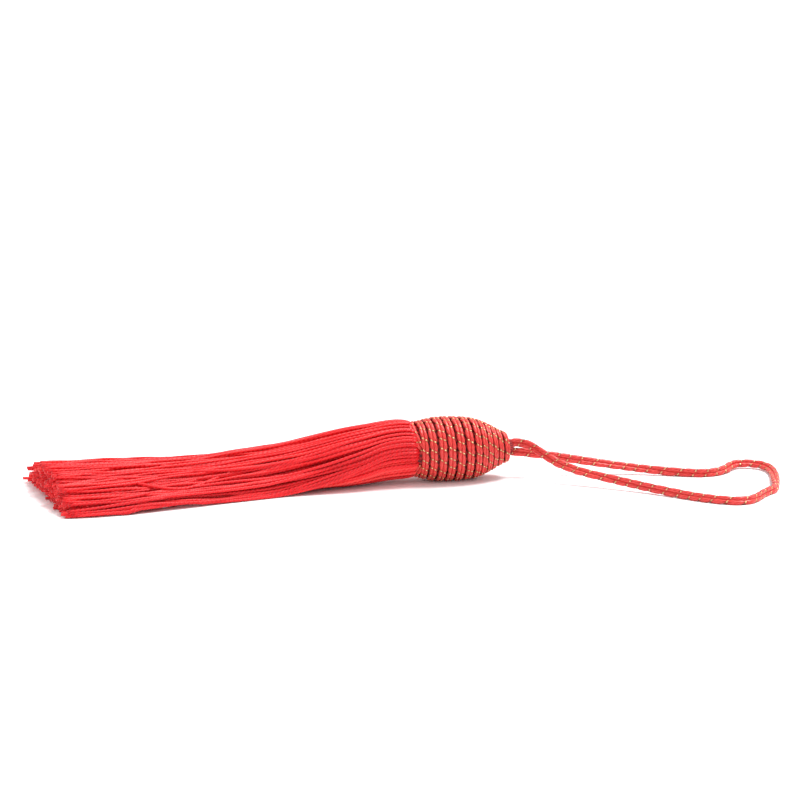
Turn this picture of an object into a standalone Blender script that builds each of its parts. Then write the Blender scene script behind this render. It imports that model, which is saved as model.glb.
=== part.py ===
"""A silk tassel lying on a table: a skirt of silk strands, a wound head and a hanging loop.

The head points along +X and the skirt along -X. The table is the plane z = 0.
"""

import math

import bmesh
import bpy
import numpy as np

MM = 0.001

# Head, in millimetres. Places along the head are measured from the neck towards the tip.
NECK_X = 34.5
HEAD_TILT = math.radians(1.6)
HEAD_AXIS_AT_NECK = 8.53
# along: distance from the neck; radius: outside of the winding there.
HEAD_OUTLINE = np.array([
    (1.8, 7.1),
    (4.4, 7.85),
    (7.0, 8.35),
    (10.0, 8.5),
    (14.0, 8.42),
    (17.0, 8.15),
    (19.7, 7.45),
    (22.2, 6.35),
    (24.2, 5.3),
    (26.0, 4.35),
    (27.9, 3.3),
])
WINDING_CORD = 1.9
WINDING_START, WINDING_END = 2.6, 27.0
# along: distance from the neck; pitch: from one turn to the next there, measured on the surface.
WINDING_PITCH = np.array([(0.0, 2.4), (15.0, 2.45), (18.5, 2.0), (28.0, 1.98)])
POINTS_PER_TURN = 16
WINDING_SIDES = 8
GAP = 0.3
OUTLINE_SAMPLES = 160
CURVE_SAMPLES = 24

# Bundle of strands under the winding.
SHOULDER = np.array([(1.25, 4.75), (1.1, 6.3), (0.6, 7.15), (-0.2, 7.5)])
NOSE_RADIUS, NOSE_END = 1.2, 28.0
EGG_POINTS = 11
BUNDLE_STEPS = 28

# Skirt. The strands start on a lattice of staggered rows inside a circle.
LATTICE_STEP = 0.8
LATTICE_RADIUS = 6.85
STRAND_SIDE = 0.56
SIDEWAYS_WANDER, UPWARD_WANDER = 0.2, 0.1
WANDER_SEED = 11
# The cut slants, and strands are up to LENGTH_VARIATION shorter than it.
CUT_SLANT = 2.8
LENGTH_VARIATION = 3.0
# The skirt rests on the flat undersides of its outermost strands; the others lie this much higher.
FOOT_LIFT = 0.1
# out: distance from the shoulder; half_width and half_height: reach of the strands from the middle of a
# round bundle; under: gap under the bundle; settled: 0 for a round bundle and 1 for strands lying in
# layers on the table; layer: height of one layer; thickness: strand thickness against STRAND_SIDE;
# wander: share of the wander there.
SKIRT_COLUMNS = ("out", "half_width", "half_height", "under", "settled", "layer", "thickness", "wander")
SKIRT_STATIONS = np.array([
    (-0.4, 6.8, 6.8, 1.45, 0.0, 1.1, 1.0, 0.0),
    (15.0, 9.7, 7.6, 0.1, 0.35, 1.85, 1.0, 0.0),
    (38.0, 12.2, 6.0, 0.0, 1.0, 1.21, 1.1, 0.3),
    (70.0, 21.3, 5.0, 0.0, 1.0, 0.975, 1.25, 0.8),
    (96.8, 23.2, 5.0, 0.0, 1.0, 0.96, 1.3, 1.0),
])
# Stations from the first on the table, and from the first where the outermost strands touch it.
SETTLED_FROM, TOUCHING_FROM = 2, 3

# Hanging loop: places relative to the neck, from the upper leg at the tip round to the lower leg.
LOOP_CORD = 2.0
LOOP_POINTS = 66
LOOP_ROUTE = np.array([
    (28.4, -0.05, 8.9),
    (29.6, -0.3, 9.0),
    (31.6, -1.2, 8.8),
    (33.6, -3.1, 8.0),
    (37.4, -8.7, 5.5),
    (40.2, -11.9, 4.4),
    (44.6, -15.8, 3.3),
    (55.0, -25.2, 1.8),
    (60.3, -31.0, 1.3),
    (65.4, -37.1, 1.05),
    (69.8, -41.6, 1.02),
    (73.2, -44.1, 1.02),
    (76.2, -45.1, 1.02),
    (79.2, -44.3, 1.02),
    (81.7, -42.0, 1.02),
    (84.2, -38.9, 1.02),
    (86.6, -36.4, 1.02),
    (88.9, -34.2, 1.02),
    (90.4, -31.3, 1.02),
    (91.7, -27.7, 1.02),
    (93.4, -22.8, 1.02),
    (95.3, -16.4, 1.05),
    (96.1, -10.8, 1.15),
    (95.1, -7.0, 1.25),
    (92.4, -5.0, 1.35),
    (89.3, -4.7, 1.35),
    (86.9, -6.4, 1.3),
    (84.4, -9.5, 1.2),
    (81.4, -11.6, 1.08),
    (78.2, -12.4, 1.04),
    (74.4, -11.6, 1.04),
    (68.4, -8.8, 1.2),
    (61.5, -5.7, 1.7),
    (54.2, -3.4, 2.6),
    (45.6, -2.0, 4.0),
    (38.2, -1.7, 5.4),
    (31.0, -0.7, 6.4),
    (28.4, -0.15, 6.62),
])


def clear_scene():
    for obj in list(bpy.data.objects):
        bpy.data.objects.remove(obj, do_unlink=True)


def collection(name):
    made = bpy.data.collections.new(name)
    bpy.context.scene.collection.children.link(made)
    return made


def material(name, colour, roughness, sheen=0.0):
    made = bpy.data.materials.new(name)
    made.use_nodes = True
    shader = made.node_tree.nodes["Principled BSDF"]
    shader.inputs["Base Color"].default_value = (*colour, 1.0)
    shader.inputs["Roughness"].default_value = roughness
    shader.inputs["Metallic"].default_value = 0.0
    shader.inputs["Sheen Weight"].default_value = sheen
    made.diffuse_color = (*colour, 1.0)
    return made


def smooth_points(points, count):
    """count points at even distances along one smooth curve through the given points."""
    points = np.asarray(points, float)
    before, after = 2 * points[0] - points[1], 2 * points[-1] - points[-2]
    knots = np.vstack([before, points, after])
    share = np.linspace(0, 1, CURVE_SAMPLES, endpoint=False)[:, None]
    pieces = []
    for a, b, c, d in zip(knots[:-3], knots[1:-2], knots[2:-1], knots[3:]):
        pull = 0.5 * (c - a), 0.5 * (d - b)
        bend = 3 * (c - b) - 2 * pull[0] - pull[1]
        turn = 2 * (b - c) + pull[0] + pull[1]
        pieces.append(b + share * (pull[0] + share * (bend + share * turn)))
    fine = np.vstack([*pieces, points[-1:]])
    along = np.concatenate([[0], np.cumsum(np.linalg.norm(np.diff(fine, axis=0), axis=1))])
    at = np.linspace(0, along[-1], count)
    return np.stack([np.interp(at, along, column) for column in fine.T], axis=1)


def head_point(along, radius, angle):
    """A place in the head: angle runs from the top over the side that faces -Y."""
    axis = np.array([math.cos(HEAD_TILT), 0.0, -math.sin(HEAD_TILT)])
    up = np.array([math.sin(HEAD_TILT), 0.0, math.cos(HEAD_TILT)])
    side = np.array([0.0, -1.0, 0.0])
    neck = np.array([NECK_X, 0.0, HEAD_AXIS_AT_NECK])
    along, radius, angle = (np.asarray(value, float)[..., None] for value in (along, radius, angle))
    return neck + along * axis + radius * (np.cos(angle) * up + np.sin(angle) * side)


def head_outline_inside(depth):
    """The head's outline moved inwards by depth, as rows of distance along and radius."""
    outline = smooth_points(HEAD_OUTLINE, OUTLINE_SAMPLES)
    direction = np.gradient(outline, axis=0)
    direction /= np.linalg.norm(direction, axis=1)[:, None]
    inwards = np.stack([direction[:, 1], -direction[:, 0]], axis=1)
    return outline + depth * inwards


def winding_path():
    """The middle of the head's cord, turn after turn, and the head's axis beside each point."""
    line = head_outline_inside(WINDING_CORD / 2)
    line = line[(line[:, 0] >= WINDING_START) & (line[:, 0] <= WINDING_END)]
    step = np.linalg.norm(np.diff(line, axis=0), axis=1)
    pitch = np.interp(line[:, 0], *WINDING_PITCH.T)
    turned = np.concatenate([[0], np.cumsum(2 * math.pi * step / pitch[1:])])
    # Half a step at the start puts the middle of a straight piece at the bottom of every turn.
    step_angle = 2 * math.pi / POINTS_PER_TURN
    angle = np.arange(0.5 * step_angle, turned[-1], step_angle)
    along, radius = (np.interp(angle, turned, column) for column in line.T)
    return head_point(along, radius, angle), head_point(along, np.zeros_like(along), angle)


def tube_curve(name, routes, radius, resolution, thickness=None, tilt=0.0):
    """A curve object with one round tube of straight pieces along each route."""
    data = bpy.data.curves.new(name, "CURVE")
    data.dimensions = "3D"
    data.twist_mode = "Z_UP"
    data.bevel_depth = radius * MM
    data.bevel_resolution = resolution
    data.use_fill_caps = True
    for route in routes:
        spline = data.splines.new("POLY")
        spline.points.add(len(route) - 1)
        places = np.concatenate([route * MM, np.ones((len(route), 1))], axis=1)
        spline.points.foreach_set("co", places.ravel())
        spline.points.foreach_set("radius", np.ones(len(route)) if thickness is None else thickness)
        spline.points.foreach_set("tilt", np.full(len(route), tilt))
    return bpy.data.objects.new(name, data)


def as_mesh(curve, into):
    """The curve's tubes as a mesh object with their caps welded; the curve is removed."""
    into.objects.link(curve)
    graph = bpy.context.evaluated_depsgraph_get()
    mesh = bpy.data.meshes.new_from_object(curve.evaluated_get(graph))
    name = curve.name
    bpy.data.objects.remove(curve, do_unlink=True)
    work = bmesh.new()
    work.from_mesh(mesh)
    bmesh.ops.remove_doubles(work, verts=work.verts, dist=0.001 * MM)
    bmesh.ops.recalc_face_normals(work, faces=work.faces)
    work.to_mesh(mesh)
    work.free()
    mesh.name = name
    made = bpy.data.objects.new(name, mesh)
    into.objects.link(made)
    return made


def lattice():
    """The strands' places in the round bundle: column, shares of the width and height, layer."""
    rows = int(LATTICE_RADIUS / LATTICE_STEP)
    places = []
    for row in range(-rows, rows + 1):
        for column in range(-2 * rows - 1, 2 * rows + 2):
            across, up = column * LATTICE_STEP / 2, row * LATTICE_STEP
            if (row + column) % 2 == 0 and math.hypot(across, up) <= LATTICE_RADIUS:
                places.append((column, across / LATTICE_RADIUS, up / LATTICE_RADIUS))
    places.sort()
    layer, last = 0, None
    found = []
    for column, across, up in places:
        layer = layer + 1 if column == last else 0
        last = column
        found.append((column, across, up, layer))
    return found


def strand_routes():
    """The middle line of each strand, from inside the shoulder to its cut end."""
    random = np.random.default_rng(WANDER_SEED)
    station = dict(zip(SKIRT_COLUMNS, SKIRT_STATIONS.T))
    half_side = STRAND_SIDE / 2 * station["thickness"]
    settled = station["settled"]
    strands = lattice()
    outermost = max(column for column, across, up, layer in strands)
    routes = []
    for column, across, up, layer in strands:
        sideways, upward = random.uniform(-1, 1), random.uniform(-1, 1)
        carries = abs(column) == outermost
        shorter = 0.0 if carries else random.uniform(0.1, 1)
        off_middle = min(abs(column), 1)
        off_table = min(layer, 1)
        x = NECK_X + SHOULDER[-1, 0] - station["out"]
        x[-1] += CUT_SLANT * (1 - across) / 2 + LENGTH_VARIATION * shorter
        y = across * station["half_width"] + off_middle * SIDEWAYS_WANDER * sideways * station["wander"]
        round_bundle = (1 + up) * station["half_height"]
        layers = layer * station["layer"] + off_table * UPWARD_WANDER * upward * station["wander"]
        z = station["under"] + half_side + (1 - settled) * round_bundle + settled * layers
        z[SETTLED_FROM:] += FOOT_LIFT
        if carries:
            z[TOUCHING_FROM:] -= FOOT_LIFT
        routes.append(np.stack([x, y, z], axis=1))
    return routes, station["thickness"]


def bundle(parts, silk):
    """The folded strands under the winding: a turned egg with a shoulder and a nose."""
    egg = head_outline_inside(WINDING_CORD + GAP)
    egg = egg[(egg[:, 0] > SHOULDER[0, 0]) & (egg[:, 1] > NOSE_RADIUS)]
    egg = egg[np.linspace(0, len(egg) - 1, EGG_POINTS).astype(int)]
    nose = np.array([(NOSE_END, 0.0), (NOSE_END, NOSE_RADIUS)])
    base = np.array([(SHOULDER[-1, 0], 0.0)])
    profile = np.vstack([nose, egg[::-1], SHOULDER, base])
    mesh = bpy.data.meshes.new("skirt")
    points = [(radius * MM, 0.0, along * MM) for along, radius in profile]
    mesh.from_pydata(points, [(i, i + 1) for i in range(len(points) - 1)], [])
    made = bpy.data.objects.new("skirt", mesh)
    made.location = np.array([NECK_X, 0.0, HEAD_AXIS_AT_NECK]) * MM
    made.rotation_euler = (0.0, math.pi / 2 + HEAD_TILT, 0.0)
    parts.objects.link(made)
    turn = made.modifiers.new("turn", "SCREW")
    turn.steps = turn.render_steps = BUNDLE_STEPS
    turn.use_merge_vertices = True
    turn.merge_threshold = 0.01 * MM
    turn.use_smooth_shade = False
    mesh.materials.append(silk)
    return made


def skirt(parts, helpers, silk):
    """The bundle with every strand growing out of its shoulder."""
    routes, thickness = strand_routes()
    corner = STRAND_SIDE / 2 * math.sqrt(2)
    tubes = tube_curve("strands", routes, corner, 0, thickness, tilt=math.pi / 4)
    strands = as_mesh(tubes, helpers)
    strands.hide_render = True
    strands.display_type = "WIRE"
    made = bundle(parts, silk)
    join = made.modifiers.new("strands", "BOOLEAN")
    join.operation = "UNION"
    join.solver = "EXACT"
    join.object = strands
    return made


def head_winding(parts, cord):
    """The cord wound round the bundle, pressed flat where the head lies on the table."""
    path, axis = winding_path()
    forwards = np.gradient(path, axis=0)
    forwards /= np.linalg.norm(forwards, axis=1)[:, None]
    outwards = path - axis
    outwards -= forwards * np.sum(outwards * forwards, axis=1)[:, None]
    outwards /= np.linalg.norm(outwards, axis=1)[:, None]
    across = np.cross(forwards, outwards)
    corner = (np.arange(WINDING_SIDES) + 0.5)[:, None] * 2 * math.pi / WINDING_SIDES
    rings = np.cos(corner) * outwards[:, None] + np.sin(corner) * across[:, None]
    points = (path[:, None] + WINDING_CORD / 2 * rings).reshape(-1, 3)
    points[:, 2] = np.maximum(points[:, 2], 0.0)
    first = np.arange(len(path) - 1)[:, None] * WINDING_SIDES
    side = np.arange(WINDING_SIDES)
    after = (side + 1) % WINDING_SIDES
    second = first + WINDING_SIDES
    quads = np.stack([first + side, first + after, second + after, second + side], axis=2)
    caps = [side[::-1].tolist(), (len(points) - WINDING_SIDES + side).tolist()]
    mesh = bpy.data.meshes.new("head_winding")
    mesh.from_pydata((points * MM).tolist(), [], quads.reshape(-1, 4).tolist() + caps)
    mesh.materials.append(cord)
    mesh.shade_smooth()
    made = bpy.data.objects.new("head_winding", mesh)
    parts.objects.link(made)
    return made


def hanging_loop(parts, cord):
    """The loop of cord that leaves the head's tip, lies on the table and comes back."""
    route = smooth_points(LOOP_ROUTE + (NECK_X, 0.0, 0.0), LOOP_POINTS)
    made = tube_curve("hanging_loop", [route], LOOP_CORD / 2, 2)
    made.data.materials.append(cord)
    parts.objects.link(made)
    return made


def main():
    clear_scene()
    parts, helpers = collection("silk_tassel"), collection("cutters")
    silk = material("red silk", (0.72, 0.02, 0.03), 0.42, sheen=0.4)
    cord = material("coral cord", (0.62, 0.06, 0.05), 0.5, sheen=0.2)
    skirt(parts, helpers, silk)
    head_winding(parts, cord)
    hanging_loop(parts, cord)


main()
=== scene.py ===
"""Looks of a silk tassel lying on a table: silk strands, a head wound with bound cord, and a hanging loop.

The head points along +X and the skirt along -X. Sizes are in millimetres and meshes are made in metres.
"""

import math

import bpy
import numpy as np
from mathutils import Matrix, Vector


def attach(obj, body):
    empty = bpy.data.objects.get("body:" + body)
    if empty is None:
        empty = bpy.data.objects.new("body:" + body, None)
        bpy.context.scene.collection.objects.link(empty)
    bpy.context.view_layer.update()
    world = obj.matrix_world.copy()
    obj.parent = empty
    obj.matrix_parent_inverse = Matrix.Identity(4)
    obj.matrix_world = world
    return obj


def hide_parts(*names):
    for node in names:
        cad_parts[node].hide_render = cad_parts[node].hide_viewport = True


MM = 0.001

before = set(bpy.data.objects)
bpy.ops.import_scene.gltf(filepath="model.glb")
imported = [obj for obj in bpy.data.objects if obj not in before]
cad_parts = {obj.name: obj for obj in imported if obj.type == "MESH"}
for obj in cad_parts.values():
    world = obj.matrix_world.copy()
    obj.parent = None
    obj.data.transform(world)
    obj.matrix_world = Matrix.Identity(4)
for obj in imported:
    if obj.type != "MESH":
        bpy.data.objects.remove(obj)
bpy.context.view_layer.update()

# Head. Places along it are measured from the neck towards the tip.
NECK_X = 34.5
HEAD_TILT = math.radians(1.6)
HEAD_AXIS_AT_NECK = 8.53
# along: distance from the neck; radius: outside of the winding there.
HEAD_OUTLINE = np.array([
    (-1.0, 6.9),
    (1.8, 7.3),
    (4.4, 7.9),
    (7.0, 8.35),
    (10.0, 8.5),
    (14.0, 8.42),
    (17.0, 8.15),
    (19.7, 7.45),
    (22.2, 6.35),
    (24.2, 5.3),
    (26.0, 4.45),
    (27.4, 3.75),
    (28.3, 3.05),
    (28.9, 2.2),
])
# Where each turn of the cord crosses the side of the head that faces -Y, as a distance from the neck.
TURN_PLACES = np.array([1.4, 3.3, 5.5, 8.0, 10.4, 12.9, 15.4, 17.8, 19.65, 21.35, 22.95, 24.6, 26.5, 27.9])
FIRST_ANGLE, LAST_ANGLE = math.radians(-240), math.radians(90 + 360 * 11.6)
# The first stretch is tucked in: before TUCK_ANGLE, within TUCK_TURN, it moves along the head and sinks.
TUCK_ANGLE, TUCK_TURN = math.radians(-205), math.radians(35)
TUCK_ALONG, TUCK_DEPTH = 1.1, 0.7
# along: distance from the neck; size: section of the cord there, drawn tighter where the turns lie closer.
CORD_SIZE = np.array([
    (0.0, 0.86),
    (4.0, 0.9),
    (7.0, 1.0),
    (15.0, 0.98),
    (18.5, 0.8),
    (22.0, 0.72),
    (28.0, 0.78),
])
# The cord's end, a bight over the neck. angle: from the top over the side facing -Y, in degrees; along:
# distance from the neck; sunk: depth below the winding's surface.
CORD_END = np.array([
    (84.0, 3.0, 0.9),
    (70.0, 1.9, 0.5),
    (52.0, 1.05, -0.1),
    (34.0, 0.55, -0.3),
    (14.0, 0.5, -0.3),
    (-6.0, 0.95, -0.2),
    (-26.0, 1.7, 0.2),
    (-44.0, 2.8, 0.9),
])

# Bound cord: two plies side by side, with a fine gold thread wound round them. PLY is a ply's radius, SPREAD
# its distance from the middle of the cord, and WRAP the length of cord for one turn of the thread.
HEAD_PLY, LOOP_PLY = 0.48, 0.58
HEAD_SPREAD, LOOP_SPREAD = 0.50, 0.55
HEAD_WRAP, LOOP_WRAP = 2.75, 3.65
# A ply's radius is multiplied by FULL between the turns of the thread and loses PINCH of it under them. The
# widths of the pinches, and of the crests where the thread swells, are in turns of the thread.
FULL, PINCH, PINCH_WIDTH = 1.08, 0.38, 0.15
THREAD_RADIUS, CREST_SWELL, CREST_WIDTH = 0.10, 0.11, 0.06
# The thread loses GROOVE_DIP of its height between the plies, over GROOVE_WIDTH of its reach.
GROOVE_DIP, GROOVE_WIDTH = 0.78, 0.38
# How far the thread's middle stands off the plies at the sides and over the crests, in thread radii.
SIDE_SEAT, CREST_SEAT = 0.5, 0.6
# The thread's turns wander by WRAP_WANDER of a turn, once in WANDER_WRAPS turns.
WRAP_WANDER, WANDER_WRAPS = 0.16, 5.3
RINGS_PER_WRAP, THREAD_RINGS_PER_WRAP = 14, 18
PLY_SIDES, THREAD_SIDES = 10, 6

# Hanging loop: the cord's places relative to the neck, from the upper leg at the tip round
# to the lower leg.
LOOP_ROUTE = np.array([
    (26.6, 0.1, 8.6),
    (28.4, -0.05, 8.9),
    (29.6, -0.3, 9.0),
    (31.6, -1.2, 8.8),
    (33.6, -3.1, 8.0),
    (37.4, -8.7, 5.5),
    (40.2, -11.9, 4.4),
    (44.6, -15.8, 3.3),
    (55.0, -25.2, 1.8),
    (60.3, -31.0, 1.3),
    (65.4, -37.1, 1.05),
    (69.8, -41.6, 1.02),
    (73.2, -44.1, 1.02),
    (76.2, -45.1, 1.02),
    (79.2, -44.3, 1.02),
    (81.7, -42.0, 1.02),
    (84.2, -38.9, 1.02),
    (86.6, -36.4, 1.02),
    (88.9, -34.2, 1.02),
    (90.4, -31.3, 1.02),
    (91.7, -27.7, 1.02),
    (93.4, -22.8, 1.02),
    (95.3, -16.4, 1.05),
    (96.1, -10.8, 1.15),
    (95.1, -7.0, 1.25),
    (92.4, -5.0, 1.35),
    (89.3, -4.7, 1.35),
    (86.9, -6.4, 1.3),
    (84.4, -9.5, 1.2),
    (81.4, -11.6, 1.08),
    (78.2, -12.4, 1.04),
    (74.4, -11.6, 1.04),
    (68.4, -8.8, 1.2),
    (61.5, -5.7, 1.7),
    (54.2, -3.4, 2.6),
    (45.6, -2.0, 4.0),
    (38.2, -1.7, 5.4),
    (31.0, -0.7, 6.4),
    (28.4, -0.15, 6.62),
    (26.6, 0.0, 6.75),
])
# The cord's flat side leans by LOOP_LEAN, one way on the upper leg and the other on the lower. It turns over
# round FAR_END, a share of the length, within about TURN_OVER, and wavers by LEAN_WAVER.
LOOP_LEAN, FAR_END, TURN_OVER = 1.15, 0.54, 0.06
LEAN_WAVER, LEAN_WAVES, LEAN_START = 0.3, 5, 0.6

# Skirt. out: distance from the neck; half_width and half_height: reach of the strands from the middle of a
# round bundle; under: gap under the bundle; settled: 0 for a round bundle and 1 for strands that have sunk
# to the table; stack: height of the settled strands at the middle.
STRAND_RADIUS = 0.39
STRAND_COUNT, STRAND_RINGS, STRAND_SIDES = 400, 72, 6
LOCK_COUNT = 40
SKIRT_STATIONS = np.array([
    (-3.2, 4.4, 4.4, 3.75, 0.0, 15.0),
    (-2.3, 5.4, 5.5, 2.65, 0.0, 15.0),
    (-1.6, 6.5, 6.6, 1.55, 0.0, 15.0),
    (-0.8, 7.1, 7.2, 1.0, 0.0, 15.0),
    (0.0, 7.25, 7.45, 0.85, 0.0, 15.0),
    (3.0, 7.55, 7.65, 0.65, 0.0, 15.0),
    (8.0, 8.1, 7.6, 0.35, 0.05, 15.0),
    (15.0, 9.6, 7.3, 0.05, 0.35, 14.8),
    (26.0, 10.4, 6.6, 0.0, 0.75, 12.2),
    (38.0, 12.1, 6.0, 0.0, 1.0, 10.4),
    (57.0, 17.0, 5.0, 0.0, 1.0, 8.3),
    (75.0, 22.2, 5.0, 0.0, 1.0, 7.9),
    (98.0, 22.8, 5.0, 0.0, 1.0, 7.8),
])
SKIRT_LENGTH = 97.0
# The cut slants by CUT_SLANT, strands are up to LENGTH_VARIATION shorter, and one in fifty is a stray.
CUT_SLANT, LENGTH_VARIATION = 4.8, 2.2
STRAY_SHARE, STRAY_LENGTH = 0.02, 1.6
# Power that draws the rings closer towards the neck, where strands bend most.
RING_SPACING = 1.2
STRAND_SEED = 12
# Places in the unit disc: how far strands and locks lie off an even pattern, and the disc's usable edge.
STRAND_JITTER, LOCK_JITTER = 0.02, 0.05
DISC_EDGE, LEAST_CHORD = 0.995, 0.1
# Strands come loose over LOOSE_OVER, and are gathered by LOCK_GATHER towards their locks over GATHER_OVER.
LOOSE_OVER, GATHER_OVER, LOCK_GATHER = 60, 40, 0.36
# Swings of locks and strands, in shares of the disc, with their wave lengths. A wild strand swings more.
LOCK_DRIFT, LOCK_DRIFT_LENGTH = 0.045, 75
STRAND_CURL, CURL_LENGTHS = 0.07, (60, 130)
WILD_SHARE, WILD_CURL = 0.1, 2.4
# Small waves of single strands: least and most reach, wave lengths, and their rise as a share of the reach.
WAVE_REACH, WAVE_LENGTHS, WAVE_RISE = (0.1, 0.35), (14, 34), 0.6
# How much a strand's thickness changes, over what length for one radian, and where the change starts.
RADIUS_WAVER, WAVER_LENGTH, WAVER_STARTS = 0.08, 3, (0, 6)
# Tint of the strands, from 0 for dark to 1 for light.
TINT_MIDDLE, STRAND_TINT, LOCK_TINT = 0.52, 0.24, 0.18

# Folded silk inside the winding: its depth under the outline, its first and last places along the head, how
# much its first rings are drawn in at the neck, its folds round the tip, and the dome that closes it.
CORE_DEPTH, CORE_FROM, CORE_TO, CORE_RINGS = 1.2, -2.0, 28.4, 40
CORE_BASE, DRAWN_IN = 0.2, np.array([2.6, 2.0, 1.2, 0.5])
FOLD_COUNT, FOLD_RIDGE, SIDES_PER_FOLD = 26, 0.03, 4
DOME_HEIGHT, DOME_RINGS, DOME_TOP = 1.3, 7, 0.02

# Points worked out between two given points of a smooth curve, and points kept along each curve.
CURVE_SAMPLES = 24
OUTLINE_POINTS, TURN_POINTS, WINDING_POINTS = 240, 600, 1600
CORD_END_POINTS, LOOP_POINTS, STATION_POINTS = 60, 160, 900

# Finish: how many yarns twist round each strand, the length of one twist, and how high the yarns stand.
SILK_LOBES, SILK_TWIST, SILK_RELIEF = 2, 1.25, 0.10
PLY_LOBES, PLY_TWIST, PLY_RELIEF = 5, 1.6, 0.03
THREAD_TWIST = 0.4
FOLD_TWIST, FOLD_RELIEF = 400.0, 0.12
# TWIST_SHIFT sets strands of unlike tint out of step. Mottles are spots for each turn and millimetre.
TWIST_SHIFT = 90.0
SILK_MOTTLE, PLY_MOTTLE = (2.0, 0.25, 1.0), 1.3
# Painted shade: how much darker a ply is drawn where the thread holds it in.
PINCH_PAINTED_SHADE = 0.5

# Table, lamp and room. The camera sees the room at ROOM_SEEN.
FLOOR_HALF, TABLE_WHITE = 3.0, (0.93, 0.93, 0.94)
LAMP_STRENGTH, LAMP_WIDTH, LAMP_FROM = 3.3, math.radians(24), (0.42, 0.15, 1.0)
ROOM_STRENGTH, ROOM_SEEN = 0.9, 1.0


# Camera: the photograph's angle.

def view_back(azimuth, elevation):
    """The direction from the object to the camera: (sin a cos e, -cos a cos e, sin e)."""
    flat = math.cos(elevation)
    return Vector((math.sin(azimuth) * flat, -math.cos(azimuth) * flat, math.sin(elevation)))


CAMERA_AZIMUTH, CAMERA_ELEVATION = math.radians(-12.854382), math.radians(11.111720)
# From the neck's place on the table.
CAMERA_FROM_NECK = np.array([-164.226, -711.819, 164.434])
SENSOR_WIDTH = 36.0
FOCAL_PIXELS, PICTURE_WIDTH = 2862.6, 800

camera_data = bpy.data.cameras.new("camera")
camera_data.sensor_fit = "HORIZONTAL"
camera_data.sensor_width = SENSOR_WIDTH
camera_data.lens = SENSOR_WIDTH * FOCAL_PIXELS / PICTURE_WIDTH
camera_data.clip_start = 0.01
camera = bpy.data.objects.new("camera", camera_data)
camera.location = (CAMERA_FROM_NECK + (NECK_X, 0.0, 0.0)) * MM
camera.rotation_euler = view_back(CAMERA_AZIMUTH, CAMERA_ELEVATION).to_track_quat("Z", "Y").to_euler()
bpy.context.scene.collection.objects.link(camera)
bpy.context.scene.camera = camera


# Materials.

class Shader:
    """A node material in the making; each method adds one node and returns its output."""

    def __init__(self, name):
        self.material = bpy.data.materials.new(name)
        self.material.use_nodes = True
        self.nodes = self.material.node_tree.nodes
        self.links = self.material.node_tree.links
        self.principled = self.nodes["Principled BSDF"]

    def feed(self, socket, value):
        """Link an output to a socket, or set the socket itself to a constant."""
        if isinstance(value, bpy.types.NodeSocket):
            self.links.new(value, socket)
        else:
            socket.default_value = value

    def set(self, **values):
        """Feed the main shader's sockets; an underscore stands for a space in a socket's name."""
        for name, value in values.items():
            self.feed(self.principled.inputs[name.replace("_", " ")], value)

    def place(self, kind):
        """Place on the piece: Object or UV coordinates."""
        return self.nodes.new("ShaderNodeTexCoord").outputs[kind]

    def part_of(self, vector, axis):
        """One part of a vector."""
        split = self.nodes.new("ShaderNodeSeparateXYZ")
        self.feed(split.inputs[0], vector)
        return split.outputs[axis]

    def math(self, operation, a, b=0.0):
        """One Math node; b is left out for a sine."""
        node = self.nodes.new("ShaderNodeMath")
        node.operation = operation
        self.feed(node.inputs[0], a)
        self.feed(node.inputs[1], b)
        return node.outputs[0]

    def blend(self, a, b, share):
        """a (1 - share) + b share."""
        return self.math("ADD", self.math("MULTIPLY", a, 1 - share), self.math("MULTIPLY", b, share))

    def scaled(self, vector, scale):
        """A vector, each of its parts multiplied."""
        node = self.nodes.new("ShaderNodeVectorMath")
        node.operation = "MULTIPLY"
        self.feed(node.inputs[0], vector)
        self.feed(node.inputs[1], scale)
        return node.outputs[0]

    def noise(self, vector, scale):
        """Smooth uneven shade, from 0 to 1."""
        node = self.nodes.new("ShaderNodeTexNoise")
        self.feed(node.inputs["Vector"], vector)
        node.inputs["Scale"].default_value = scale
        node.inputs["Detail"].default_value = 2.0
        return node.outputs["Fac"]

    def own(self, name):
        """The piece's own attribute."""
        node = self.nodes.new("ShaderNodeAttribute")
        node.attribute_name = name
        return node.outputs["Fac"]

    def ramp(self, value, stops):
        """Colour by value, through stops of place and colour."""
        node = self.nodes.new("ShaderNodeValToRGB")
        self.feed(node.inputs[0], value)
        elements = node.color_ramp.elements
        while len(elements) < len(stops):
            elements.new(0.5)
        for element, (place, colour) in zip(elements, stops):
            element.position = place
            element.color = (*colour, 1.0)
        return node.outputs["Color"]

    def bump(self, height, distance):
        """Raise the surface by height, a value from 0 to 1, times distance."""
        node = self.nodes.new("ShaderNodeBump")
        self.feed(node.inputs["Height"], height)
        node.inputs["Distance"].default_value = distance
        node.inputs["Strength"].default_value = 1.0
        self.feed(self.principled.inputs["Normal"], node.outputs[0])


def twist(shader, lobes, pitch, start=0.0):
    """Height of a twisted yarn: 0.5 + 0.5 sin(2 pi (lobes u + v / pitch) + start), with v in millimetres."""
    place = shader.place("UV")
    turns = shader.math("MULTIPLY", shader.part_of(place, "X"), lobes * 2 * math.pi)
    along = shader.math("MULTIPLY", shader.part_of(place, "Y"), 2 * math.pi / pitch)
    wave = shader.math("SINE", shader.math("ADD", shader.math("ADD", turns, along), start))
    return shader.math("ADD", shader.math("MULTIPLY", wave, 0.5), 0.5)


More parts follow.
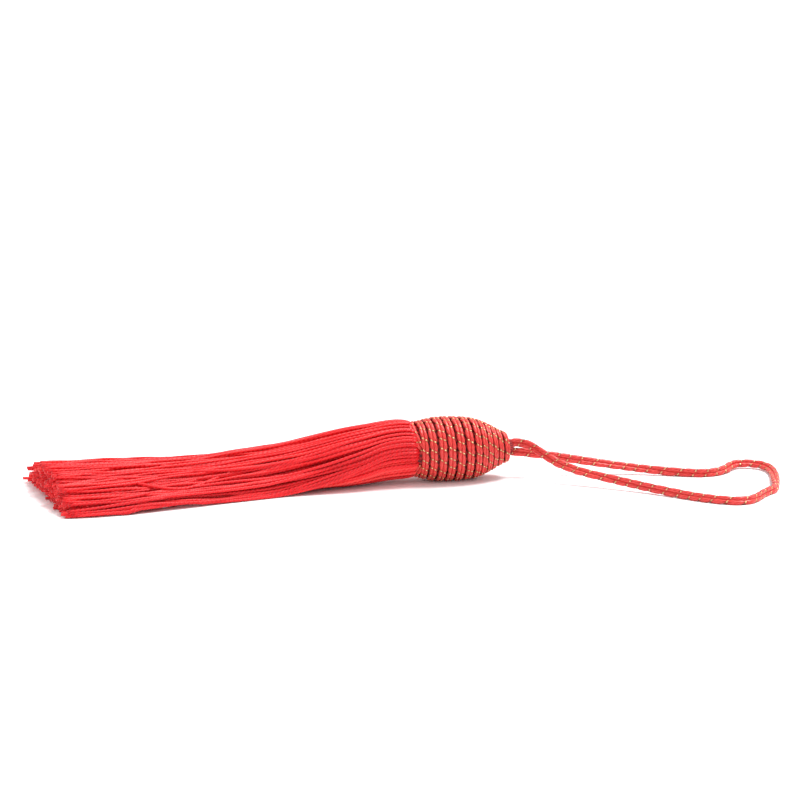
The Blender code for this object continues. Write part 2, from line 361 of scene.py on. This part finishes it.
def silk_material():
    """Bright red silk: its tint changes from strand to strand, its twist is raised, and the twist's grooves
    are drawn a little darker as painted shade.
    """
    shader = Shader("red_silk")
    tone_and_painted_light = shader.own("tone_and_painted_light")
    yarn = twist(shader, SILK_LOBES, SILK_TWIST, shader.math("MULTIPLY", tone_and_painted_light, TWIST_SHIFT))
    mottle = shader.noise(shader.scaled(shader.place("UV"), SILK_MOTTLE), scale=1.0)
    # The twist's height also darkens its grooves in the colour, as painted shade.
    colour = shader.ramp(shader.blend(shader.blend(tone_and_painted_light, mottle, share=0.4), yarn, share=0.2), [
        (0.15, (0.58, 0.003, 0.008)),
        (0.48, (0.86, 0.010, 0.016)),
        (0.80, (1.0, 0.060, 0.056)),
    ])
    shader.set(Base_Color=colour, Roughness=0.42, Metallic=0.0, Sheen_Weight=0.35, Sheen_Roughness=0.4)
    shader.set(Sheen_Tint=(1.0, 0.2, 0.2, 1.0), Specular_IOR_Level=0.35)
    shader.bump(yarn, SILK_RELIEF * MM)
    return shader.material


def ply_material():
    """Coral satin ply with a faint twist, and painted shade where the thread holds it in."""
    shader = Shader("coral_cord")
    yarn = twist(shader, PLY_LOBES, PLY_TWIST)
    mottle = shader.noise(shader.place("UV"), scale=PLY_MOTTLE)
    # Painted shade where the thread sinks into the ply.
    pinch_painted_shade = shader.math("MULTIPLY", shader.own("tone_and_painted_light"), PINCH_PAINTED_SHADE)
    # The twist's grooves are drawn a little darker too, as painted shade.
    colour = shader.ramp(shader.math("SUBTRACT", shader.blend(mottle, yarn, share=0.3), pinch_painted_shade), [
        (0.0, (0.34, 0.006, 0.010)),
        (0.2, (0.54, 0.014, 0.015)),
        (0.6, (0.76, 0.045, 0.038)),
        (0.9, (0.84, 0.090, 0.070)),
    ])
    shader.set(Base_Color=colour, Roughness=0.4, Metallic=0.0, Sheen_Weight=0.2)
    shader.set(Sheen_Tint=(1.0, 0.4, 0.3, 1.0), Specular_IOR_Level=0.5)
    shader.bump(yarn, PLY_RELIEF * MM)
    return shader.material


def thread_material():
    """Gold thread with a fine twist; painted highlight on the crests of the plies, and brown painted shade in
    between.
    """
    shader = Shader("gold_thread")
    yarn = twist(shader, 1, THREAD_TWIST)
    # Colour from the crest value: painted highlight over the crests, painted shade between them, and the
    # twist's grooves a little darker as painted shade.
    colour = shader.ramp(shader.blend(shader.own("tone_and_painted_light"), yarn, share=0.25), [
        (0.10, (0.11, 0.038, 0.014)),
        (0.50, (0.42, 0.21, 0.075)),
        (0.92, (0.95, 0.65, 0.34)),
    ])
    shader.set(Base_Color=colour, Roughness=0.3, Metallic=0.7)
    return shader.material


def folded_material():
    """Deep red silk, drawn dark as painted shade in the gaps between the turns, with strands that run from
    the neck over the tip, as fine stripes, darker between them as painted shade.
    """
    shader = Shader("folded_silk")
    strand = twist(shader, FOLD_COUNT, FOLD_TWIST)
    # Painted shade: the whole core is dark, and darker still between the folded strands.
    colour = shader.ramp(strand, [(0.1, (0.14, 0.002, 0.004)), (0.8, (0.42, 0.008, 0.011))])
    shader.set(Base_Color=colour, Roughness=0.6, Metallic=0.0)
    shader.bump(strand, FOLD_RELIEF * MM)
    return shader.material


def plain_material(name, colour, roughness):
    """One even colour, for the table."""
    shader = Shader(name)
    shader.set(Base_Color=(*colour, 1.0), Roughness=roughness, Metallic=0.0)
    return shader.material


RED_SILK = silk_material()
CORAL_CORD = ply_material()
GOLD_THREAD = thread_material()
FOLDED_SILK = folded_material()


# Surfaces made from whole arrays.

def unit(vectors):
    """Vectors of length 1 in the same directions."""
    return vectors / np.linalg.norm(vectors, axis=-1, keepdims=True)


def smooth_points(points, count):
    """count points at even distances along one smooth curve through the given points."""
    points = np.asarray(points, float)
    before, after = 2 * points[0] - points[1], 2 * points[-1] - points[-2]
    knots = np.vstack([before, points, after])
    share = np.linspace(0, 1, CURVE_SAMPLES, endpoint=False)[:, None]
    pieces = []
    for a, b, c, d in zip(knots[:-3], knots[1:-2], knots[2:-1], knots[3:]):
        pull = 0.5 * (c - a), 0.5 * (d - b)
        bend = 3 * (c - b) - 2 * pull[0] - pull[1]
        turn = 2 * (b - c) + pull[0] + pull[1]
        pieces.append(b + share * (pull[0] + share * (bend + share * turn)))
    fine = np.vstack([*pieces, points[-1:]])
    along = lengths_along(fine)
    at = np.linspace(0, along[-1], count)
    return np.stack([np.interp(at, along, column) for column in fine.T], axis=1)


def lengths_along(points):
    """Distance along the line at each point; works on many lines at once."""
    steps = np.linalg.norm(np.diff(points, axis=-2), axis=-1)
    start = np.zeros(steps.shape[:-1] + (1,))
    return np.concatenate([start, np.cumsum(steps, axis=-1)], axis=-1)


def tube_mesh(name, points, lengths, finish, tone_and_painted_light=None):
    """Closed tubes from points[tube, ring, side]: quads join ring r and r + 1, and a face closes each end.

    UV is (side / sides, length along the tube in millimetres). tone_and_painted_light is a value per tube,
    ring
    and side: for the strands their own tone; for the plies painted shade at the pinches; for the thread
    painted highlight on the crests and painted shade between them.
    """
    tubes, rings, sides = points.shape[:3]
    index = np.arange(tubes * rings * sides).reshape(tubes, rings, sides)
    after = np.roll(index, -1, axis=2)
    quads = np.stack([index[:, :-1], after[:, :-1], after[:, 1:], index[:, 1:]], axis=3)
    corner = np.arange(sides) / sides
    across = np.stack([corner, corner + 1 / sides, corner + 1 / sides, corner], axis=1)
    across = np.broadcast_to(across, quads.shape)
    along = np.stack([lengths[:, :-1], lengths[:, :-1], lengths[:, 1:], lengths[:, 1:]], axis=2)
    along = np.broadcast_to(along[:, :, None], quads.shape)
    ends = np.stack([index[:, 0, ::-1], index[:, -1]], axis=1)
    end_along = np.broadcast_to(lengths[:, [0, -1], None], ends.shape)
    end_across = np.broadcast_to(corner, ends.shape)
    loops = np.concatenate([quads.ravel(), ends.ravel()])
    places = np.stack([
        np.concatenate([across.ravel(), end_across.ravel()]),
        np.concatenate([along.ravel(), end_along.ravel()]),
    ], axis=1)
    quad_count, end_count = quads.size // 4, tubes * 2
    starts = np.concatenate([np.arange(quad_count) * 4, quads.size + np.arange(end_count) * sides])
    mesh = bpy.data.meshes.new(name)
    mesh.vertices.add(index.size)
    mesh.vertices.foreach_set("co", (points * MM).astype(np.float32).ravel())
    mesh.loops.add(len(loops))
    mesh.loops.foreach_set("vertex_index", loops.astype(np.int32))
    mesh.polygons.add(len(starts))
    mesh.polygons.foreach_set("loop_start", starts.astype(np.int32))
    mesh.update(calc_edges=True)
    smooth = np.concatenate([np.ones(quad_count, bool), np.zeros(end_count, bool)])
    mesh.polygons.foreach_set("use_smooth", smooth)
    layer = mesh.uv_layers.new(name="UVMap")
    layer.data.foreach_set("uv", places.astype(np.float32).ravel())
    if tone_and_painted_light is not None:
        shade = mesh.attributes.new("tone_and_painted_light", "FLOAT", "POINT")
        shade.data.foreach_set("value", np.broadcast_to(tone_and_painted_light, index.shape).astype(np.float32).ravel())
    mesh.validate()
    mesh.materials.append(finish)
    made = bpy.data.objects.new(name, mesh)
    bpy.context.scene.collection.objects.link(made)
    return made


def corners(sides):
    """Angles of a ring's corners: 2 pi (k + 1/2) / sides."""
    return (np.arange(sides) + 0.5) * 2 * math.pi / sides


def tube_points(middle, out, side, reach_out, reach_side):
    """Rings of points: middle + reach_out * out + reach_side * side, for every corner of every ring."""
    return (
        middle[..., None, :]
        + reach_out[..., None] * out[..., None, :]
        + reach_side[..., None] * side[..., None, :]
    )


def round_section(radius, sides):
    """Corners of a circle of each ring's radius: (r cos c, r sin c)."""
    corner = corners(sides)
    return radius[..., None] * np.cos(corner), radius[..., None] * np.sin(corner)


def on_table(points):
    """The same points, with none under the table's top."""
    points[..., 2] = np.maximum(points[..., 2], 0.0)
    return points


def resample(line, count):
    """count even places along a line, for each of its columns."""
    along = lengths_along(line[:, :3])
    at = np.linspace(0, along[-1], count)
    return np.stack([np.interp(at, along, column) for column in line.T], axis=1), at


# Bound cord.

def cord_frame(line):
    """Middle, out, side and forward directions along a cord; out is kept square to forward."""
    middle, out = line[:, :3], line[:, 3:6]
    forward = unit(np.gradient(middle, axis=0))
    upward = unit(out - forward * np.sum(out * forward, axis=1)[:, None])
    return middle, upward, np.cross(forward, upward), forward


def wrap_turns(share, wraps):
    """Turns of the thread at a share of the cord's length: s w + d sin(2 pi s w / n), a little uneven."""
    turns = share * wraps
    return turns + WRAP_WANDER * np.sin(2 * math.pi * turns / WANDER_WRAPS)


def turns_from(turns, place):
    """Turns from the nearest pass of a place: ((turns - place + 1/2) mod 1) - 1/2."""
    return (turns - place + 0.5) % 1.0 - 0.5


def thread_seat(ply, spread):
    """The thread's reach to the side, and the turns from there to where it crosses over a ply."""
    reach = spread + ply * (FULL - PINCH) + SIDE_SEAT * THREAD_RADIUS
    return reach, math.acos(spread / reach) / (2 * math.pi)


def ply_pair(name, track, wraps, ply, spread):
    """Two tubes at middle +- spread side, held in by the thread.

    The thread lies over a ply's corner c at t = t0 +- crossing cos(c) turns, where t0 is 0 for the first ply
    and 1/2 for the second. The ply's radius is ply (FULL - PINCH g), where g = exp(-((turns - t) /
    PINCH_WIDTH)^2), fading to nothing on the side that faces the other ply.
    """
    line, at = resample(track, wraps * RINGS_PER_WRAP + 1)
    middle, upward, sideward = cord_frame(line)[:3]
    size = line[:, 6:]
    crossing = thread_seat(ply, spread)[1]
    corner = corners(PLY_SIDES)
    turns = wrap_turns(at / at[-1], wraps)[:, None]
    plies, pinches = [], []
    for sign, beside in ((1, 0.0), (-1, 0.5)):
        away = turns_from(turns, beside + sign * crossing * np.cos(corner))
        pinch_painted_shade = np.clip(1 + sign * np.sin(corner), 0, 1)
        pinch = pinch_painted_shade * np.exp(-((away / PINCH_WIDTH) ** 2))
        radius = ply * (FULL - PINCH * pinch)
        reach_out = size * radius * np.cos(corner)
        reach_side = size * (radius * np.sin(corner) + sign * spread)
        plies.append(tube_points(middle, upward, sideward, reach_out, reach_side))
        pinches.append(pinch)
    # The pinches also darken the plies' colour, as painted shade.
    return tube_mesh(name, on_table(np.stack(plies)), np.stack([at, at]), CORAL_CORD, np.stack(pinches))


def binding(name, track, wraps, ply, spread):
    """The thread, a helix middle + over sin(p) out + reach cos(p) side with p = 2 pi turns.

    It dips by GROOVE_DIP exp(-(cos(p) / GROOVE_WIDTH)^2) between the plies, and swells by CREST_SWELL where
    it crosses the top of one.
    """
    line, at = resample(track, wraps * THREAD_RINGS_PER_WRAP + 1)
    middle, upward, sideward, forward = cord_frame(line)
    size = line[:, 6:]
    reach, crossing = thread_seat(ply, spread)
    turns = wrap_turns(at / at[-1], wraps)
    phase = 2 * math.pi * turns
    crest = (ply * (FULL - PINCH) + CREST_SEAT * THREAD_RADIUS) / math.sin(2 * math.pi * crossing)
    over = crest * (1 - GROOVE_DIP * np.exp(-((np.cos(phase) / GROOVE_WIDTH) ** 2)))
    helix = (
        middle
        + size * (over * np.sin(phase))[:, None] * upward
        + size * (reach * np.cos(phase))[:, None] * sideward
    )
    direction = unit(np.gradient(helix, axis=0))
    first = unit(forward - direction * np.sum(forward * direction, axis=1)[:, None])
    second = np.cross(direction, first)
    swell = sum(
        np.exp(-((turns_from(turns, place) / CREST_WIDTH) ** 2))
        for place in (crossing, 0.5 - crossing)
    )
    reach_out, reach_side = round_section(THREAD_RADIUS + CREST_SWELL * swell, THREAD_SIDES)
    points = tube_points(helix, first, second, reach_out, reach_side)[None]
    # The swell also sets the thread's colour: painted highlight on the crests, painted shade between them.
    return tube_mesh(name, on_table(points), at[None], GOLD_THREAD, swell[None, :, None])


def bound_cord(name, route, out, ply, spread, wrap, size=None):
    """Two plies and the thread round them, as two pieces.

    out is the direction that the cord's flat side faces, and size scales the cord's section.
    """
    if size is None:
        size = np.ones(len(route))
    track = np.hstack([route, out, size[:, None]])
    wraps = max(1, round(lengths_along(route)[-1] / wrap))
    cord = ply_pair(name, track, wraps, ply, spread)
    thread = binding(name + "_thread", track, wraps, ply, spread)
    for piece in (cord, thread):
        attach(piece, "root")
    return cord, thread


# Hanging loop.

def loop_cord():
    """The loop's bound cord. Its flat side leans one way on the upper leg and the other on the lower."""
    route = smooth_points(LOOP_ROUTE + (NECK_X, 0.0, 0.0), LOOP_POINTS)
    share = np.linspace(0, 1, LOOP_POINTS)
    forward = unit(np.gradient(route, axis=0))
    level = unit(np.cross(forward, (0.0, 0.0, 1.0)))
    lean = LOOP_LEAN * np.tanh((FAR_END - share) / TURN_OVER)
    lean += LEAN_WAVER * np.sin(LEAN_WAVES * 2 * math.pi * share + LEAN_START)
    out = level * np.sin(lean)[:, None] + np.array([0.0, 0.0, 1.0]) * np.cos(lean)[:, None]
    cord, thread = bound_cord("loop_cord", route, out, LOOP_PLY, LOOP_SPREAD, LOOP_WRAP)
    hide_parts("hanging_loop")


loop_cord()


# Head.

def head_frame(along, angle):
    """Axis point, axis direction and outward direction; angle runs from the top over the side facing -Y."""
    axis = np.array([math.cos(HEAD_TILT), 0.0, -math.sin(HEAD_TILT)])
    up = np.array([math.sin(HEAD_TILT), 0.0, math.cos(HEAD_TILT)])
    side = np.array([0.0, -1.0, 0.0])
    neck = np.array([NECK_X, 0.0, HEAD_AXIS_AT_NECK])
    along, angle = np.asarray(along, float)[..., None], np.asarray(angle, float)[..., None]
    return neck + along * axis, axis, np.cos(angle) * up + np.sin(angle) * side


def outline_at(along, depth):
    """Places on the head's outline moved in by depth, and the direction (run, rise) of the outline there."""
    outline = smooth_points(HEAD_OUTLINE, OUTLINE_POINTS)
    slope = unit(np.gradient(outline, axis=0))
    columns = (*outline.T, *slope.T)
    place, radius, run, rise = (np.interp(along, outline[:, 0], column) for column in columns)
    return place + depth * rise, radius - depth * run, run, rise


def head_cord():
    """The cord wound round the head: a helix on the outline through the measured turns."""
    angle = np.linspace(FIRST_ANGLE, LAST_ANGLE, WINDING_POINTS)
    crossings = math.radians(90) + 2 * math.pi * (np.arange(len(TURN_PLACES)) - 1)
    knots = smooth_points(np.stack([crossings, TURN_PLACES], axis=1), TURN_POINTS)
    along = np.interp(angle, *knots.T)
    tuck = np.clip((TUCK_ANGLE - angle) / TUCK_TURN, 0, 1) ** 2
    along += TUCK_ALONG * tuck
    cord, thread = surface_cord("head_cord", along, angle, TUCK_DEPTH * tuck)
    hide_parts("head_winding")


def surface_cord(name, along, angle, sunk):
    """A bound cord lying on the head's outline, its flat side along the surface."""
    place, radius, run, rise = outline_at(along, HEAD_PLY + sunk)
    centre, axis, outward = head_frame(place, angle)
    route = centre + radius[:, None] * outward
    out = run[:, None] * outward - rise[:, None] * axis
    size = np.interp(along, *CORD_SIZE.T)
    return bound_cord(name, route, out, HEAD_PLY, HEAD_SPREAD, HEAD_WRAP, size)


def cord_end():
    """The winding's end, which shows as a small bight at the neck."""
    angle, along, sunk = smooth_points(CORD_END, CORD_END_POINTS).T
    surface_cord("head_cord_end", along, np.radians(angle), sunk)


head_cord()
cord_end()


def folded_core():
    """The folded silk inside the winding: a turned egg under the outline, domed at the tip.

    The dome's radius is r cos(t) and its height DOME_HEIGHT sin(t). Small ridges, FOLD_RIDGE r sin(n angle),
    are the folded strands.
    """
    along = np.linspace(CORE_FROM, CORE_TO, CORE_RINGS)
    place, radius = outline_at(along, CORE_DEPTH)[:2]
    radius[:len(DRAWN_IN)] -= DRAWN_IN
    lift = np.linspace(0, math.pi / 2, DOME_RINGS + 1)[1:]
    place = np.concatenate([place[:1], place, place[-1] + DOME_HEIGHT * np.sin(lift)])
    radius = np.concatenate([[CORE_BASE], radius, radius[-1] * np.cos(lift) + DOME_TOP])
    middle, axis, up = head_frame(place, np.zeros_like(place))
    side = np.cross(np.broadcast_to(axis, up.shape), up)
    corner = corners(SIDES_PER_FOLD * FOLD_COUNT)
    ridged = radius[:, None] * (1 + FOLD_RIDGE * np.sin(FOLD_COUNT * corner))
    points = tube_points(middle, up, side, ridged * np.cos(corner), ridged * np.sin(corner))[None]
    core = tube_mesh("folded_core", points, place[None], FOLDED_SILK)
    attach(core, "root")


folded_core()


# Skirt.

def disc_places(count, random, jitter):
    """Even places in the unit disc: radius sqrt((k + 0.5) / n) at k golden angles, each moved a little."""
    k = np.arange(count)
    radius = np.sqrt((k + 0.5) / count)
    angle = k * math.pi * (3 - math.sqrt(5))
    places = np.stack([radius * np.cos(angle), radius * np.sin(angle)], axis=1)
    places += random.normal(0, jitter, places.shape)
    reach = np.linalg.norm(places, axis=1, keepdims=True)
    return places / np.maximum(reach, 1.0)


def strand_outs(random, across):
    """Distance from the neck at each ring of each strand, to its own cut end; across is its place's a."""
    length = SKIRT_LENGTH - CUT_SLANT * (1 - across) / 2
    length -= LENGTH_VARIATION * random.uniform(0, 1, STRAND_COUNT)
    length += np.where(random.uniform(0, 1, STRAND_COUNT) > 1 - STRAY_SHARE, STRAY_LENGTH, 0.0)
    first = SKIRT_STATIONS[0, 0]
    return first + (length - first)[:, None] * np.linspace(0, 1, STRAND_RINGS) ** RING_SPACING


def waves(random, out, wave_lengths):
    """A wave for each strand, sin(2 pi (out / length + start)), its length and start drawn at random."""
    length = random.uniform(*wave_lengths, (STRAND_COUNT, 1))
    start = random.uniform(0, 1, (STRAND_COUNT, 1))
    return np.sin(2 * math.pi * (out / length + start))


def drawn_to_locks(random, places, middles, nearest, out, loose):
    """Places (a, b) in the unit disc along the strands, gathered by locks, with their swings."""
    gather = LOCK_GATHER * np.clip(out / GATHER_OVER, 0, 1)
    drift = random.normal(0, LOCK_DRIFT, (LOCK_COUNT, 2))[nearest]
    curl = random.normal(0, STRAND_CURL, (STRAND_COUNT, 2))
    curl *= np.where(random.uniform(0, 1, (STRAND_COUNT, 1)) > 1 - WILD_SHARE, WILD_CURL, 1.0)
    disc = []
    for axis in (0, 1):
        own = places[:, axis, None]
        pulled = own + gather * (middles[nearest, axis, None] - own)
        swing = waves(random, out, CURL_LENGTHS)
        lock_start = random.uniform(0, 1, (LOCK_COUNT, 1))[nearest]
        lock_swing = np.sin(2 * math.pi * (out / LOCK_DRIFT_LENGTH + lock_start))
        disc.append(pulled + loose * (curl[:, axis, None] * swing + drift[:, axis, None] * lock_swing))
    a, b = disc
    squeeze = 1 / np.maximum(1, np.sqrt(a**2 + b**2) / DISC_EDGE)
    return a * squeeze, b * squeeze


def skirt_strands():
    """The strands, as arrays over strand and ring.

    A strand keeps its place (a, b) in the unit disc and is drawn towards the middle of its lock. At each
    distance out from the neck, y = a w + waves, and z mixes the round bundle u + r + (1 + b) h with the
    settled one r + (b + c) / 2 k by s. r is the strand's radius, c = sqrt(1 - a^2), and w, h, u, s and k come
    from the stations.
    """
    random = np.random.default_rng(STRAND_SEED)
    places = disc_places(STRAND_COUNT, random, STRAND_JITTER)
    locks = disc_places(LOCK_COUNT, random, LOCK_JITTER)
    nearest = np.argmin(np.linalg.norm(places[:, None] - locks[None], axis=2), axis=1)
    out = strand_outs(random, places[:, 0])
    table = smooth_points(SKIRT_STATIONS, STATION_POINTS)
    columns = table.T[1:]
    half_width, half_height, under, settled, stack = (np.interp(out, table[:, 0], row) for row in columns)
    loose = np.clip(out / LOOSE_OVER, 0, 1)
    a, b = drawn_to_locks(random, places, locks, nearest, out, loose)
    chord = np.sqrt(np.maximum(1 - a**2, LEAST_CHORD**2))
    y = a * half_width
    round_height = under + (1 + b) * half_height
    settled_height = np.clip((b + chord) / 2, 0, 1) * stack
    z = STRAND_RADIUS + (1 - settled) * round_height + settled * settled_height
    wave = random.uniform(*WAVE_REACH, (STRAND_COUNT, 1)) * loose
    y += wave * waves(random, out, WAVE_LENGTHS)
    z += WAVE_RISE * wave * waves(random, out, WAVE_LENGTHS)
    z = np.maximum(z, STRAND_RADIUS)
    middle = np.stack([NECK_X - out, y, z], axis=2)
    forward = unit(np.gradient(middle, axis=1))
    upward = unit(np.array([0.0, 0.0, 1.0]) - forward * forward[..., 2:3])
    side = np.cross(forward, upward)
    waver_start = random.uniform(*WAVER_STARTS, (STRAND_COUNT, 1))
    radius = STRAND_RADIUS * (1 + RADIUS_WAVER * np.sin(out / WAVER_LENGTH + waver_start))
    points = on_table(tube_points(middle, upward, side, *round_section(radius, STRAND_SIDES)))
    tone_and_painted_light = random.normal(TINT_MIDDLE, STRAND_TINT, STRAND_COUNT)
    tone_and_painted_light = np.clip(tone_and_painted_light + random.normal(0, LOCK_TINT, LOCK_COUNT)[nearest], 0, 1)
    return points, lengths_along(middle), tone_and_painted_light, places[:, 0]


def skirt():
    """The strands as two pieces, the half towards -Y and the half towards +Y."""
    points, lengths, tone_and_painted_light, across = skirt_strands()
    for name, part in (("skirt_near", across < 0), ("skirt_far", across >= 0)):
        piece = tube_mesh(name, points[part], lengths[part], RED_SILK, tone_and_painted_light[part, None, None])
        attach(piece, "root")
    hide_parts("skirt")


skirt()


# Table and light.

def floor():
    """The plain pale table top."""
    mesh = bpy.data.meshes.new("table_top")
    square = [(x * FLOOR_HALF, y * FLOOR_HALF, 0) for x, y in ((-1, -1), (1, -1), (1, 1), (-1, 1))]
    mesh.from_pydata(square, [], [(0, 1, 2, 3)])
    mesh.materials.append(plain_material("table_white", TABLE_WHITE, roughness=0.6))
    made = bpy.data.objects.new("table_top", mesh)
    bpy.context.scene.collection.objects.link(made)


floor()


def studio_light():
    """One wide soft lamp, high up and a little to the right, and an even white room."""
    lamp = bpy.data.lights.new("soft_lamp", "SUN")
    lamp.energy = LAMP_STRENGTH
    lamp.angle = LAMP_WIDTH
    made = bpy.data.objects.new("soft_lamp", lamp)
    made.rotation_euler = Vector(LAMP_FROM).to_track_quat("Z", "Y").to_euler()
    bpy.context.scene.collection.objects.link(made)
    world = bpy.data.worlds.new("studio")
    world.use_nodes = True
    nodes, links = world.node_tree.nodes, world.node_tree.links
    room = nodes["Background"]
    room.inputs["Color"].default_value = (1.0, 1.0, 1.0, 1.0)
    seen = nodes.new("ShaderNodeLightPath")
    strength = nodes.new("ShaderNodeMapRange")
    strength.inputs["To Min"].default_value = ROOM_STRENGTH
    strength.inputs["To Max"].default_value = ROOM_SEEN
    links.new(seen.outputs["Is Camera Ray"], strength.inputs["Value"])
    links.new(strength.outputs[0], room.inputs["Strength"])
    bpy.context.scene.world = world
    bpy.context.scene.view_settings.view_transform = "Standard"


studio_light()
